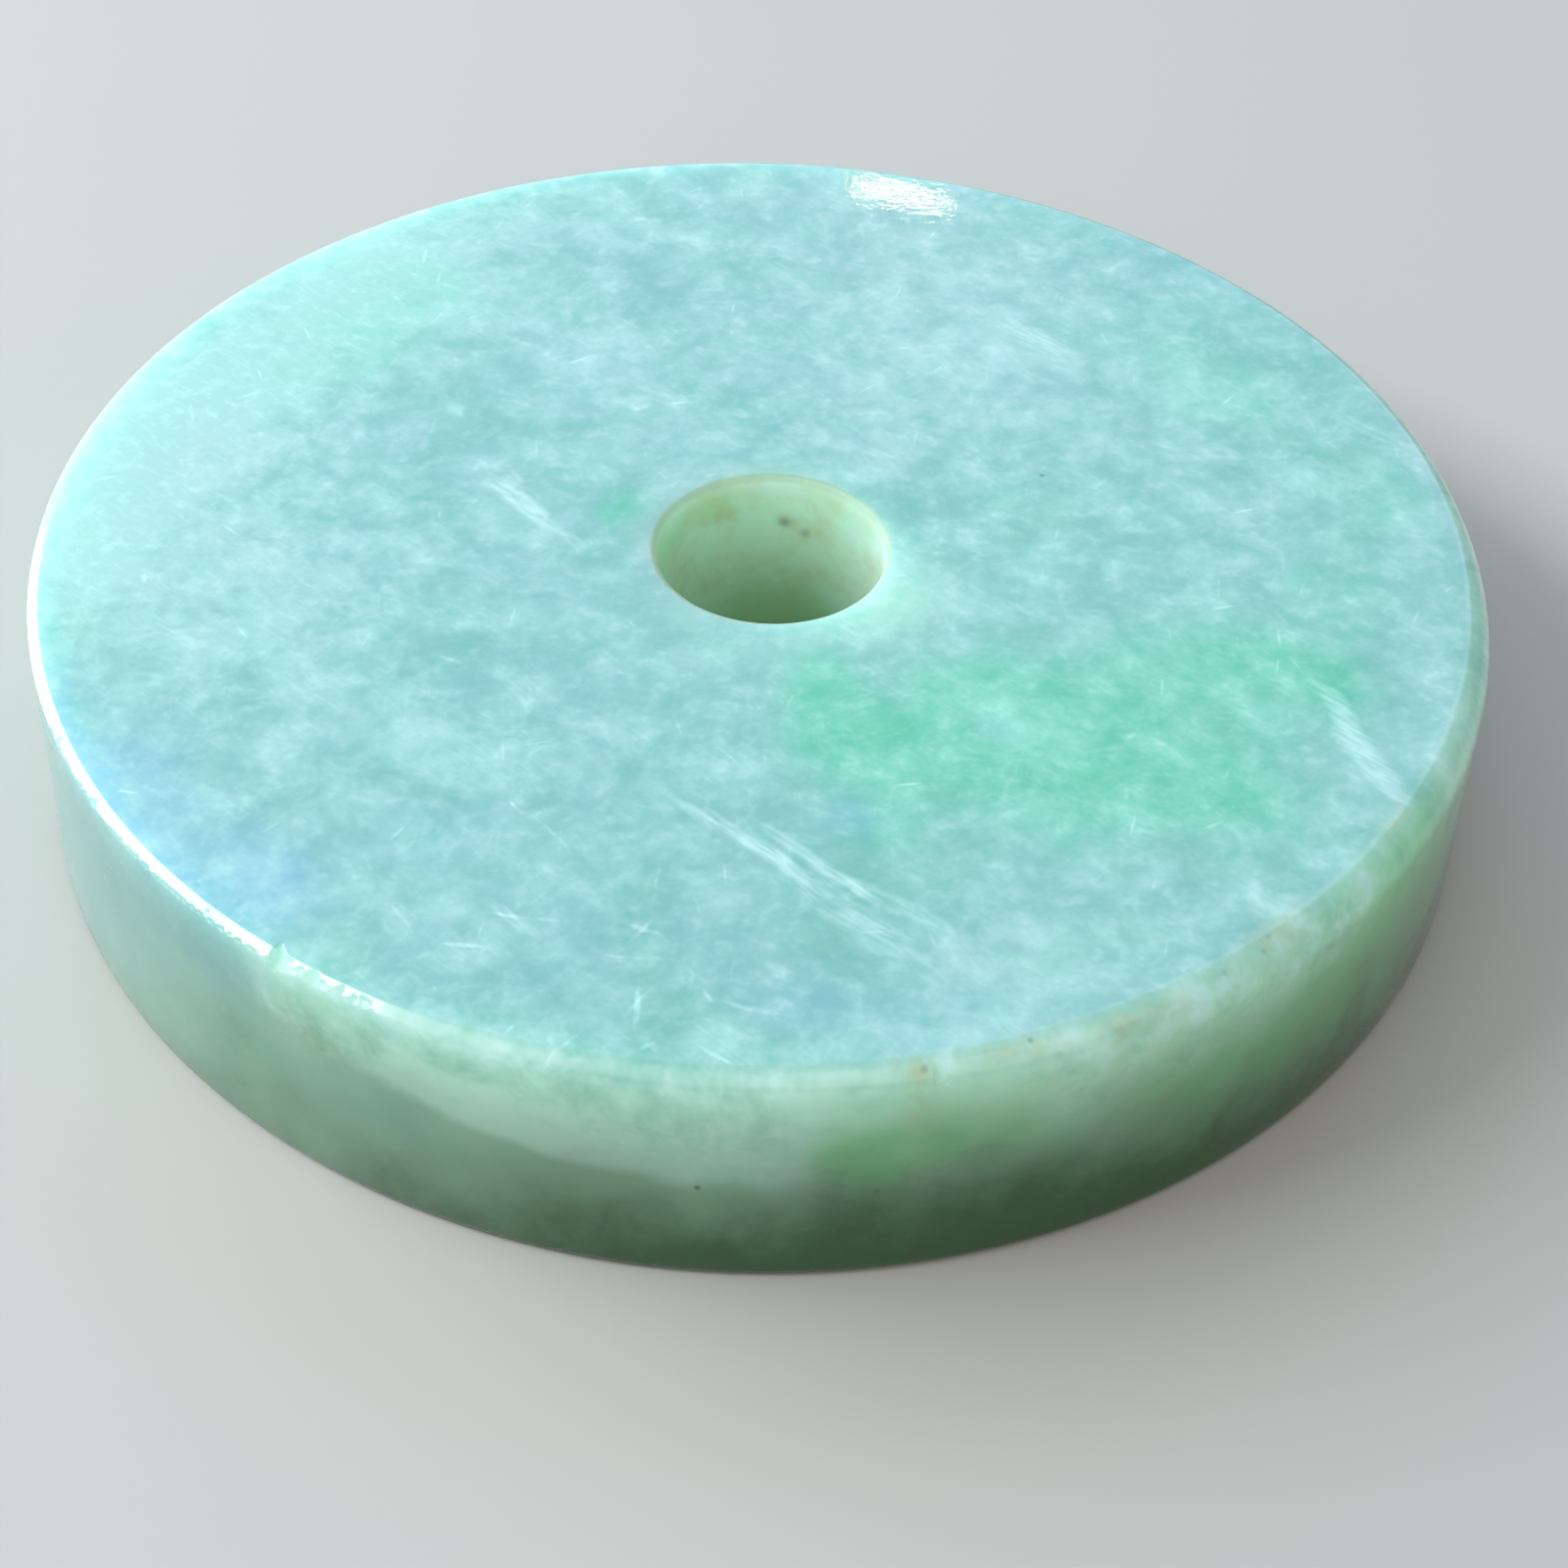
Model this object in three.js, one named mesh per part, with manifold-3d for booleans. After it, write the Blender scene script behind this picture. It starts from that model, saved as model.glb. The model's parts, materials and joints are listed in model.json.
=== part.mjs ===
// A jade bi disc: a thick round plate of pale green stone with a small hole bored through it.
// Millimetres, +Z up. The disc lies on its underside, with the origin at the middle of that face.

import * as THREE from "three";
import { mergeVertices, toCreasedNormals } from "three/addons/utils/BufferGeometryUtils.js";
import Module from "manifold-3d";

const wasm = await Module();
wasm.setup();

// Driving dimensions

const discDiameter = 56;
const discThickness = 9.9;
const rimRounding = 0.5; // radius of the softened edge round the upper face
const footRounding = 0.4; // radius of the softened edge round the underside

const holeDiameter = 8.9;
const holeOffsetX = 0.3; // how far the hole was bored off the middle, along +X
const holeOffsetY = -0.2; // and along +Y
const holeRounding = 0.3; // radius of the softened edge at each mouth of the hole

const chipAngle = 235.5; // place of the largest chip in the upper edge, in degrees round from +X
const chipWidth = 0.8; // along the edge
const chipDepth = 0.25; // in from the wall and down from the upper face

// Fineness of the round surfaces

const discSegments = 144;
const edgeSteps = 5;
const chipSegments = 12;

const jade = new THREE.MeshStandardMaterial({
  name: "polished pale green jade",
  color: 0xa9d8c6,
  roughness: 0.2,
  metalness: 0,
});

// A quarter round of lathe profile points about (middleX, middleY), from one angle to another
function quarterRound(middleX, middleY, radius, fromAngle, toAngle) {
  const points = [];
  for (let step = 0; step <= edgeSteps; step += 1) {
    const angle = THREE.MathUtils.lerp(fromAngle, toAngle, step / edgeSteps);
    const x = middleX + radius * Math.cos(angle);
    const y = middleY + radius * Math.sin(angle);
    points.push(new THREE.Vector2(x, y));
  }
  return points;
}

// A profile of radius and height turned about the Z axis
function turned(profile) {
  const geometry = new THREE.LatheGeometry(profile, discSegments);
  geometry.rotateX(Math.PI / 2);
  return geometry;
}

// A closed geometry as a solid that can be cut
function solidOf(geometry) {
  geometry.deleteAttribute("normal");
  geometry.deleteAttribute("uv");
  const merged = mergeVertices(geometry);
  const vertProperties = new Float32Array(merged.attributes.position.array);
  const triVerts = new Uint32Array(merged.index.array);
  return new wasm.Manifold(new wasm.Mesh({ numProp: 3, vertProperties, triVerts }));
}

// A solid back as a geometry, with sharp edges where its faces meet at an angle
function geometryOf(solid) {
  const { vertProperties, triVerts } = solid.getMesh();
  const geometry = new THREE.BufferGeometry();
  geometry.setAttribute("position", new THREE.BufferAttribute(vertProperties, 3));
  geometry.setIndex(new THREE.BufferAttribute(triVerts, 1));
  return toCreasedNormals(geometry, Math.PI / 6);
}

// The blank: flat faces, an upright wall and a softened edge above and below
function discBlank() {
  const radius = discDiameter / 2;
  const foot = quarterRound(
    radius - footRounding, footRounding, footRounding, -Math.PI / 2, 0,
  );
  const rim = quarterRound(
    radius - rimRounding, discThickness - rimRounding, rimRounding, 0, Math.PI / 2,
  );
  const underside = new THREE.Vector2(0, 0);
  const upperFace = new THREE.Vector2(0, discThickness);
  return turned([underside, ...foot, ...rim, upperFace]);
}

// What the drill and the polishing take out: a straight bore that opens out at both mouths
function holeCore() {
  const radius = holeDiameter / 2;
  const beyond = discThickness / 2;
  const lowerMouth = quarterRound(
    radius + holeRounding, holeRounding, holeRounding, 1.5 * Math.PI, Math.PI,
  );
  const upperMouth = quarterRound(
    radius + holeRounding, discThickness - holeRounding, holeRounding, Math.PI, 0.5 * Math.PI,
  );
  const widest = radius + holeRounding;
  const profile = [
    new THREE.Vector2(0, -beyond),
    new THREE.Vector2(widest, -beyond),
    ...lowerMouth,
    ...upperMouth,
    new THREE.Vector2(widest, discThickness + beyond),
    new THREE.Vector2(0, discThickness + beyond),
  ];
  const geometry = turned(profile);
  geometry.translate(holeOffsetX, holeOffsetY, 0);
  return geometry;
}

// The shell-shaped scoop that a knock took out of the upper edge: a ball that bites in
// by chipDepth where it is chipWidth across
function chipScoop() {
  const ballRadius = (chipWidth ** 2 / 4 + chipDepth ** 2) / (2 * chipDepth);
  const geometry = new THREE.SphereGeometry(ballRadius, chipSegments, chipSegments);
  const outward = ballRadius - chipDepth;
  const cornerRadius = discDiameter / 2 - rimRounding * (1 - Math.SQRT1_2);
  const cornerHeight = discThickness - rimRounding * (1 - Math.SQRT1_2);
  const around = THREE.MathUtils.degToRad(chipAngle);
  const reach = cornerRadius + outward * Math.SQRT1_2;
  const height = cornerHeight + outward * Math.SQRT1_2;
  geometry.translate(reach * Math.cos(around), reach * Math.sin(around), height);
  return geometry;
}

const discSolid = solidOf(discBlank())
  .subtract(solidOf(holeCore()))
  .subtract(solidOf(chipScoop()));

const jadeDisc = new THREE.Mesh(geometryOf(discSolid), jade);
jadeDisc.name = "jade_disc";

const bi = new THREE.Group();
bi.add(jadeDisc);

export default bi;
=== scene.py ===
# %% [markdown]
# # A jade bi disc
#
# The object is a thick round plate of pale green jade, cut and polished from one stone, with a small
# hole bored through it near the middle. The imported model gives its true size, and this lesson gives
# it the looks of the real stone: softened and chipped edges, a polish, and the cloudy, felted grain
# that jade shows when light sinks into it. Everything is measured in metres, in the model's frame.

# %% Load the frame
import json
import math

import bpy
import numpy as np
from mathutils import Matrix, Vector


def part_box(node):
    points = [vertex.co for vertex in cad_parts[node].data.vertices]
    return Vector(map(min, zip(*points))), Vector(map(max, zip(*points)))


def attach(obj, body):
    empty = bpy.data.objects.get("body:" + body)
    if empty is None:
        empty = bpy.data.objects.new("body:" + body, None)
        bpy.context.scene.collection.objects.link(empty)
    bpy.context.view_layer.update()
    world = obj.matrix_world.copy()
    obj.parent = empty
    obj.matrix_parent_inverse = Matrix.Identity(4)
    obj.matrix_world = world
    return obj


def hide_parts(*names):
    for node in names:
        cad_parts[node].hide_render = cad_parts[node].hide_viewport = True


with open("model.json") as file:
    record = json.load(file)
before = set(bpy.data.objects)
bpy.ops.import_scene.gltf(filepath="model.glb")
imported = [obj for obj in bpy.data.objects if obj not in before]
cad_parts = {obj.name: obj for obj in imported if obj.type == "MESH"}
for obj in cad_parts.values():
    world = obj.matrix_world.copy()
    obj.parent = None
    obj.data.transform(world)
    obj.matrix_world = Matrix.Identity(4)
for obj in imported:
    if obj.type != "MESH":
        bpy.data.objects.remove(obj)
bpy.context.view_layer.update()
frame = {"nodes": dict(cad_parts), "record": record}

MM = 0.001  # one millimetre in the scene's metres

low, high = (Vector(corner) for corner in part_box("jade_disc"))
disc_radius = (high.x - low.x) / 2
disc_thickness = high.z - low.z
print("disc: %.1f mm across, %.1f mm thick" % (2 * disc_radius / MM, disc_thickness / MM))

# %% [markdown]
# ## Where the hole is
#
# The hole was bored a little off the middle, as hand work is. The record keeps a box that a cord can
# pass through, and the middle of that box is the middle of the hole. The hole's radius is the
# distance from there to the nearest point of the solid, so the finished stone always fits the solid.

# %% Measure the hole
opening = frame["record"]["physics"]["openings"][0]["box_m"]
hole_middle = (Vector(opening[0]) + Vector(opening[1])) / 2
solid_points = [p.co for p in frame["nodes"]["jade_disc"].data.vertices]
hole_radius = min(math.hypot(p.x - hole_middle.x, p.y - hole_middle.y) for p in solid_points)
hole_off_middle = hole_middle.xy.length
print("hole: %.2f mm across, %.2f mm off the middle" % (2 * hole_radius / MM, hole_off_middle / MM))

# %% [markdown]
# ## The camera
#
# The photograph was taken from close by, looking down at the disc at a slant. A camera that stands at
# the same place sees the far edge as flattened as the photograph shows it. It is placed by its
# distance from the middle of the upper face, aimed there, and then turned by three small angles,
# which move the disc off the middle of the picture without any lens shift.

# %% Place the camera
PICTURE_PIXELS = 1600
FOCAL_PIXELS = 3253  # the focal length, counted in pixels of the picture
SENSOR_MM = 36
CAMERA_DISTANCE = 4.416 * disc_radius
CAMERA_ELEVATION = math.radians(38.23)
CAMERA_YAW = math.radians(0.49)
CAMERA_PITCH = math.radians(4.30)
CAMERA_ROLL = math.radians(-1.66)

camera_data = bpy.data.cameras.new("camera")
camera_data.lens = SENSOR_MM * FOCAL_PIXELS / PICTURE_PIXELS
camera_data.sensor_width = SENSOR_MM
camera_data.clip_start = 5 * MM
camera_data.clip_end = 20
camera = bpy.data.objects.new("camera", camera_data)
bpy.context.collection.objects.link(camera)

aimed = Matrix.Rotation(math.pi / 2 - CAMERA_ELEVATION, 4, "X")
turned = Matrix.Rotation(-CAMERA_YAW, 4, "Y")
nodded = Matrix.Rotation(-CAMERA_PITCH, 4, "X")
rolled = Matrix.Rotation(-CAMERA_ROLL, 4, "Z")
towards_camera = aimed.to_3x3() @ Vector((0, 0, 1))
face_middle = Vector((0, 0, disc_thickness))
camera_place = face_middle + CAMERA_DISTANCE * towards_camera
camera.matrix_world = Matrix.Translation(camera_place) @ aimed @ turned @ nodded @ rolled
bpy.context.scene.camera = camera
print("camera: lens %.1f mm, %.0f mm from the disc" % (camera_data.lens, CAMERA_DISTANCE / MM))

# %% [markdown]
# ## The stone's surface
#
# A turned shape could be made with a Screw modifier, but the hole isn't in the middle, so the rings
# near the hole and the rings near the rim have different centres. Here each ring is worked out in
# code instead: one row of points for each step of the outline, one column for each angle. The
# outline runs from the hole out over the upper face, round the rim, down the wall, in under the
# stone and up the bore, where it meets itself, so the surface is closed without caps.
#
# The columns stand closer together where the rim is chipped, because chips need finer points.

# %% Angles of the columns
CHIPPED_STRETCHES = [(203, 246), (281, 286)]  # from and to, in degrees round from +X
FINE_STEP, PLAIN_STEP = 0.13, 0.85  # degrees from one column to the next

steps = []
reached = CHIPPED_STRETCHES[-1][1] - 360
for chipped_from, chipped_to in CHIPPED_STRETCHES:
    steps.append(np.arange(reached, chipped_from, PLAIN_STEP))
    steps.append(np.arange(chipped_from, chipped_to, FINE_STEP))
    reached = chipped_to
angles = np.radians(np.concatenate(steps))
around = np.stack([np.cos(angles), np.sin(angles), np.zeros(len(angles))], axis=1)
print("columns: %d" % len(angles))

# %% [markdown]
# ## Rows of the outline
#
# The rim isn't the same all the way round. At the left and behind it is a crisp narrow bevel that
# faces up and out, and years of handling have worn it round and soft in front and at the right.
# Both outlines are made with the same number of rows, and each column takes its share of the two.

# %% Rows of points
BEVEL_IN = 0.41 * MM  # how far the bevel reaches in over the face
BEVEL_FACES = math.radians(57)  # the way it faces, up from level
BEVEL_ROUNDING = 0.07 * MM
RIM_ROUNDING = 0.6 * MM
RIM_ROUNDING_SOFT = 1.3 * MM
SOFTEST_AT = math.radians(320)
CRISPEST_AT = math.radians(165)
FOOT_ROUNDING = 0.4 * MM
MOUTH_ROUNDING = 0.3 * MM
ARC_ROWS, BEVEL_ROWS = 5, 6
RIM_ROWS = 2 * ARC_ROWS + BEVEL_ROWS
FACE_ROWS, WALL_ROWS, FOOT_ROWS = 44, 22, 6
UNDER_ROWS, MOUTH_ROWS, BORE_ROWS = 6, 6, 10
ROW_CROWDING = 1.5  # draws the rows of the face and of the wall towards the rim
SOFT_STRETCH = 5  # the higher, the shorter the stretch that is worn soft
CRISP_FROM, CRISP_FULL = 0.06, 0.18  # cosines of the way round from the crispest place

softness = (0.5 + 0.5 * np.cos(angles - SOFTEST_AT)) ** SOFT_STRETCH
rim_rounding = RIM_ROUNDING + (RIM_ROUNDING_SOFT - RIM_ROUNDING) * softness
near_crispest = np.cos(angles - CRISPEST_AT)
crispness = np.clip((near_crispest - CRISP_FROM) / (CRISP_FULL - CRISP_FROM), 0, 1)[:, None]


def ring(middle, radius, height):
    """One row: a circle about a middle. radius and height are numbers or one value a column."""
    row = around * np.broadcast_to(radius, angles.shape)[:, None]
    row = row + np.array([middle.x, middle.y, 0])
    row[:, 2] = height
    return row


def rounded(middle, arc_middle, arc_height, arc_radius, start, end, rows):
    """Rows round an edge, from one angle of the arc to another, both ends included."""
    made = []
    for turn in np.linspace(start, end, rows):
        radius = arc_middle + arc_radius * math.cos(turn)
        height = arc_height + arc_radius * math.sin(turn)
        made.append(ring(middle, radius, height))
    return made


def between(first, last, rows, crowding=1.0):
    """Rows between two others, both left out. Above 1, crowding draws them towards the first."""
    shares = np.linspace(0, 1, rows + 2)[1:-1] ** crowding
    return [first * (1 - share) + last * share for share in shares]


disc_middle = Vector((0, 0, 0))
worn_rim = rounded(disc_middle, disc_radius - rim_rounding, disc_thickness - rim_rounding,
                   rim_rounding, math.pi / 2, 0, RIM_ROWS)

level, upright = math.cos(BEVEL_FACES), math.sin(BEVEL_FACES)
bevel_reach = (disc_radius - BEVEL_IN) * level + disc_thickness * upright - BEVEL_ROUNDING
arc_height = disc_thickness - BEVEL_ROUNDING
arc_radius = disc_radius - BEVEL_ROUNDING
face_corner = rounded(disc_middle, (bevel_reach - arc_height * upright) / level, arc_height,
                      BEVEL_ROUNDING, math.pi / 2, BEVEL_FACES, ARC_ROWS)
wall_corner = rounded(disc_middle, arc_radius, (bevel_reach - arc_radius * level) / upright,
                      BEVEL_ROUNDING, BEVEL_FACES, 0, ARC_ROWS)
bevel = between(face_corner[-1], wall_corner[0], BEVEL_ROWS)
crisp_rim = face_corner + bevel + wall_corner
rim = [worn * (1 - crispness) + crisp * crispness for worn, crisp in zip(worn_rim, crisp_rim)]

foot = rounded(disc_middle, disc_radius - FOOT_ROUNDING, FOOT_ROUNDING, FOOT_ROUNDING,
               0, -math.pi / 2, FOOT_ROWS)
mouth_middle = hole_radius + MOUTH_ROUNDING
lower_mouth = rounded(hole_middle, mouth_middle, MOUTH_ROUNDING, MOUTH_ROUNDING,
                      1.5 * math.pi, math.pi, MOUTH_ROWS)
upper_mouth = rounded(hole_middle, mouth_middle, disc_thickness - MOUTH_ROUNDING, MOUTH_ROUNDING,
                      math.pi, 0.5 * math.pi, MOUTH_ROWS)
wall = between(rim[-1], foot[0], WALL_ROWS, ROW_CROWDING)
underside = between(foot[-1], lower_mouth[0], UNDER_ROWS)
bore = between(lower_mouth[-1], upper_mouth[0], BORE_ROWS)
face = between(rim[0], upper_mouth[-1], FACE_ROWS, ROW_CROWDING)[::-1]

rows = np.array(face + rim + wall + foot + underside + lower_mouth + bore + upper_mouth)
print("rows: %d, points: %d" % (len(rows), rows.shape[0] * rows.shape[1]))

# %% [markdown]
# ## Chips and nicks
#
# A knock breaks a shell-shaped flake out of a hard stone's edge, or splits it off flat. A Boolean
# would cut such shapes out, and would leave long thin triangles round them. Here the points that a
# ball takes in are pushed out to the ball's surface, and the points that stand above a split are
# pressed down to it, which keeps the rows and columns tidy.

# %% Bite chips out of the rim
OUTWARD = math.radians(45)  # the way a knock comes from, up from level
whole_rows = rows.copy()


def struck(angle, share):
    """The point of the rim that is hit, the way out of the stone, and the way along the rim."""
    turned_by = (angles - math.radians(angle) + math.pi) % (2 * math.pi) - math.pi
    column = int(np.argmin(np.abs(turned_by)))
    point = whole_rows[len(face) + round(share * (RIM_ROWS - 1)), column]
    out = around[column] * math.cos(OUTWARD) + np.array([0, 0, math.sin(OUTWARD)])
    return point, out, np.array([-around[column][1], around[column][0], 0])


def shell(angle, share, width, depth):
    """Takes out a shell-shaped flake, width across and depth deep, in millimetres."""
    point, out, _ = struck(angle, share)
    ball_radius = (width ** 2 / 4 + depth ** 2) / (2 * depth) * MM
    ball = point + out * (ball_radius - depth * MM)
    from_ball = rows - ball
    distance = np.linalg.norm(from_ball, axis=2, keepdims=True)
    rows[:] = np.where(distance < ball_radius, ball + from_ball * (ball_radius / distance), rows)


def split(angle, share, width, depth, tilt):
    """Splits the edge off flat. A tilt, in degrees, makes the split face along the rim."""
    point, out, along = struck(angle, share)
    faces = out * math.cos(math.radians(tilt)) + along * math.sin(math.radians(tilt))
    standing = (rows - point) @ faces + depth * MM
    reached = (np.abs((rows - point) @ along) < width / 2 * MM) & (standing > 0)
    near = np.linalg.norm(rows - point, axis=2) < 2 * width * MM
    rows[:] = np.where((reached & near)[:, :, None], rows - standing[:, :, None] * faces, rows)


# %% [markdown]
# ## The chips in their places
#
# One large chip sits in front at the left, with rough small ones to its right, and two more flakes
# are gone in front. The bevel's lower edge is ragged from wear: small nicks of chance sizes, close
# together. The chance numbers come from one seed, so the nicks are the same each time.

# %% Place the chips
CHANCE_SEED = 11
SMALLEST_NICK = 0.4  # as a share of the widest and deepest
SPLITS = [  # degrees round from +X, share of the way over the rim, width and depth in mm, tilt
    (235.55, 0.5, 0.80, 0.13, -24), (236.4, 0.8, 0.70, 0.06, -12), (237.7, 0.6, 0.90, 0.03, 8),
    (239.0, 0.9, 0.70, 0.05, -10), (240.4, 0.6, 0.60, 0.03, 10), (206.3, 0.9, 0.30, 0.05, -10),
    (213.4, 0.9, 0.50, 0.03, 8), (282.9, 0.5, 0.35, 0.06, -15),
]
SHELLS = [  # degrees round from +X, share of the way over the rim, width and depth in millimetres
    (234.75, 0.35, 0.20, 0.08), (234.55, 0.90, 0.25, 0.09), (230.9, 0.75, 0.20, 0.08),
    (230.2, 0.80, 0.16, 0.07), (228.3, 0.50, 0.15, 0.07), (228.9, 0.85, 0.18, 0.07),
    (282.2, 0.30, 0.20, 0.07), (283.3, 0.80, 0.20, 0.07),
]
NICKS = [  # from and to in degrees, how many, share of the way over the rim, widest, deepest
    (204, 219, 40, (0.85, 1.0), 0.25, 0.02),
    (219, 235, 70, (0.80, 1.0), 0.30, 0.04),
    (236.2, 243.5, 60, (0.4, 1.0), 0.35, 0.035),
]
chance = np.random.default_rng(CHANCE_SEED)
for chip in SPLITS:
    split(*chip)
for chip in SHELLS:
    shell(*chip)
for nicks_from, nicks_to, count, shares, widest, deepest in NICKS:
    for _ in range(count):
        size = chance.uniform(SMALLEST_NICK, 1.0)
        angle = chance.uniform(nicks_from, nicks_to)
        shell(angle, chance.uniform(*shares), widest * size, deepest * size)
bitten = np.linalg.norm(rows - whole_rows, axis=2)
print("chipped points: %d, deepest %.2f mm" % ((bitten > 0).sum(), bitten.max() / MM))

# %% [markdown]
# ## The mesh
#
# Rows and columns both close on themselves, so every square joins a point to the next row and the
# next column, and the last ones join the first.

# %% Make the mesh
def closed_mesh(name, rings):
    """A mesh whose rows and columns both close on themselves."""
    row_count, column_count = rings.shape[:2]
    index = np.arange(row_count * column_count).reshape(row_count, column_count)
    next_row = np.roll(index, -1, axis=0)
    next_column = np.roll(index, -1, axis=1)
    across = np.roll(next_row, -1, axis=1)
    quads = np.stack([index, next_row, across, next_column], axis=-1)
    mesh = bpy.data.meshes.new(name)
    mesh.from_pydata(rings.reshape(-1, 3).tolist(), [], quads.reshape(-1, 4).tolist())
    mesh.shade_smooth()
    return mesh


disc = bpy.data.objects.new("polished_disc", closed_mesh("polished_disc", rows))
bpy.context.collection.objects.link(disc)
print("faces: %d" % len(disc.data.polygons))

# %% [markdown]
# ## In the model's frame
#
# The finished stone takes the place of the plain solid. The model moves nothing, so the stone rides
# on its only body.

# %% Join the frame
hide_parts("jade_disc")
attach(disc, "root")
print("%s stands for jade_disc" % disc.name)

# %% [markdown]
# ## Clouds of colour
#
# Soft patches lie in the stone at places of their own. Each is a blob of colour, longer one way than
# the other. On the wall a patch is measured along the wall and up it, so that it bends with it. The
# strength at each point of the surface is kept with the mesh, where the material can read it. The
# same could be painted on the mesh by hand; worked out from a list, a patch is moved by a number.

# %% Soft patches at places of their own
points = rows.reshape(-1, 3) / MM
degrees = np.degrees(np.arctan2(points[:, 1], points[:, 0])) % 360
UP = disc_thickness / MM
FACE_DEPTH = 4  # how far down from the face its patches reach, in millimetres
WALL_DEPTH = 1.4  # how far in from the wall its patches reach


def patch(x, y, z, length, width, depth, turn):
    """How strongly each point lies in a soft patch. Sizes in millimetres, turn in degrees."""
    ahead = math.radians(turn)
    along = (points[:, 0] - x) * math.cos(ahead) + (points[:, 1] - y) * math.sin(ahead)
    aside = (points[:, 1] - y) * math.cos(ahead) - (points[:, 0] - x) * math.sin(ahead)
    down = points[:, 2] - z
    return np.exp(-((along / length) ** 2 + (aside / width) ** 2 + (down / depth) ** 2))


def on_face(patches):
    """Patches that show on the upper face: strength, x, y, length, width, turn."""
    total = 0
    for strength, x, y, length, width, turn in patches:
        total = total + strength * patch(x, y, UP, length, width, FACE_DEPTH, turn)
    return total


def on_the_wall(patches):
    """Patches that show on the wall: strength, angle, height, width along the wall, half height."""
    from_middle = np.hypot(points[:, 0], points[:, 1])
    inside = (disc_radius / MM - from_middle) / WALL_DEPTH
    total = 0
    for strength, angle, height, width, tall in patches:
        along = np.radians((degrees - angle + 180) % 360 - 180) * from_middle / width
        upward = (points[:, 2] - height) / tall
        total = total + strength * np.exp(-(along ** 2 + inside ** 2 + upward ** 2))
    return total


def keep(name, values):
    """Keeps one number a point with the mesh, for the material to read by name."""
    clipped = np.clip(values, 0, 1)
    layer = disc.data.attributes.new(name, "FLOAT", "POINT")
    layer.data.foreach_set("value", clipped.astype(np.float32))
    print("%s: %.3f on average" % (name, float(clipped.mean())))


# %% [markdown]
# ## Green, lavender and stains
#
# A little chromium turns jade green and a little manganese turns it lavender. The green lies in a
# large cloud to the right of the hole and in small ones near the rim and on the wall, and lavender
# at the left. On the wall at the left the lavender is also painted cool light from the window. The
# rounded rim is paler in spots. Dirt has yellowed the stone round the hole and stained a few pits of
# the rim.

# %% Green and lavender clouds
GREEN_ON_FACE = [  # strength, x, y, length and width in millimetres, turn in degrees
    (0.8, -5.6, 2.0, 1.5, 1.0, 60), (1.0, 2.7, -9.2, 1.5, 2.6, 15), (0.7, 7.8, -8.3, 1.8, 1.6, 0),
    (0.8, 6.5, -11.5, 6.0, 4.5, 0), (0.6, 13.0, -12.5, 6.0, 4.5, -30), (0.4, 5.1, -17.6, 2.5, 3.0, 0),
    (0.6, 16.0, -6.5, 6.0, 4.5, -10), (0.5, 20.5, -7.0, 3.0, 2.0, -40), (0.4, 22.5, -1.0, 3.0, 4.0, 0),
    (0.4, 12.0, 2.5, 7.0, 4.0, 20), (0.3, 15.5, 14.5, 5.0, 3.0, -50), (0.5, 20.6, 9.5, 4.5, 3.0, -35),
    (0.4, 24.9, 4.6, 3.0, 2.0, -50), (0.3, -11.6, -5.6, 3.0, 2.2, 0), (0.7, -17.0, 13.5, 7.0, 3.5, 50),
    (0.3, 21.0, 15.0, 3.0, 5.0, 40), (0.3, 17.0, -14.0, 5.0, 4.0, 0),
]
GREEN_ON_WALL = [  # strength, degrees round from +X, height, width and half height
    (1.3, 278.9, 6.1, 2.2, 1.1), (0.5, 287.0, 6.5, 3.5, 1.6), (0.5, 303.0, 5.0, 5.0, 2.5),
    (1.2, 328.0, 4.5, 9.0, 4.5), (0.3, 232.0, 4.5, 2.5, 1.5),
]
LAVENDER_ON_FACE = [
    (0.6, -16.6, -19.4, 3.2, 1.8, -42), (0.55, -20.8, -15.0, 4.0, 1.8, -54),
    (0.35, 3.7, -25.0, 5.0, 2.0, 0), (0.4, 3.4, -15.2, 1.6, 1.4, 0),
    (0.2, -8.0, -19.0, 7.0, 5.0, 0), (0.3, 9.0, -10.6, 2.0, 0.9, -20),
]
# the large patch at the left of the wall is partly painted cool light from the window
LAVENDER_AND_COOL_LIGHT_ON_WALL = [
    (0.9, 206.0, 6.0, 11.0, 8.0), (0.5, 228.0, 8.5, 4.0, 2.0), (0.4, 243.0, 5.0, 4.0, 2.0),
]
PALE_ON_RIM = [
    (0.7, 283.5, 9.8, 0.6, 0.4), (0.6, 293.0, 9.6, 1.2, 0.45), (0.6, 302.0, 9.5, 1.3, 0.5),
    (0.5, 311.0, 9.7, 1.0, 0.4), (0.35, 303.0, 8.8, 8.0, 1.2), (0.3, 270.0, 9.4, 3.0, 0.6),
    (0.3, 256.0, 9.2, 4.0, 0.6), (0.2, 320.0, 9.4, 4.0, 0.6),
]
YELLOWED_ON_FACE = [
    (0.4, 5.0, -3.2, 2.2, 1.6, 55), (0.2, 2.5, -5.2, 3.0, 0.8, 15), (0.2, -3.0, -4.6, 2.2, 0.8, -50),
    (0.2, 0.0, 4.6, 4.0, 0.7, 0), (0.2, -4.6, 1.0, 0.7, 2.0, 0),
]
STAINED_RIM = [
    (0.9, 5.5, -27.1, 0.6, 0.4, 0), (0.9, 12.3, -24.7, 0.8, 0.4, 25), (0.7, 17.8, -20.3, 1.4, 0.6, 50),
    (0.5, 9.0, -26.0, 1.6, 0.4, 15), (0.6, 22.6, -14.6, 1.2, 0.4, 60), (0.5, 14.2, -23.8, 1.0, 0.4, 30),
]

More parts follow.
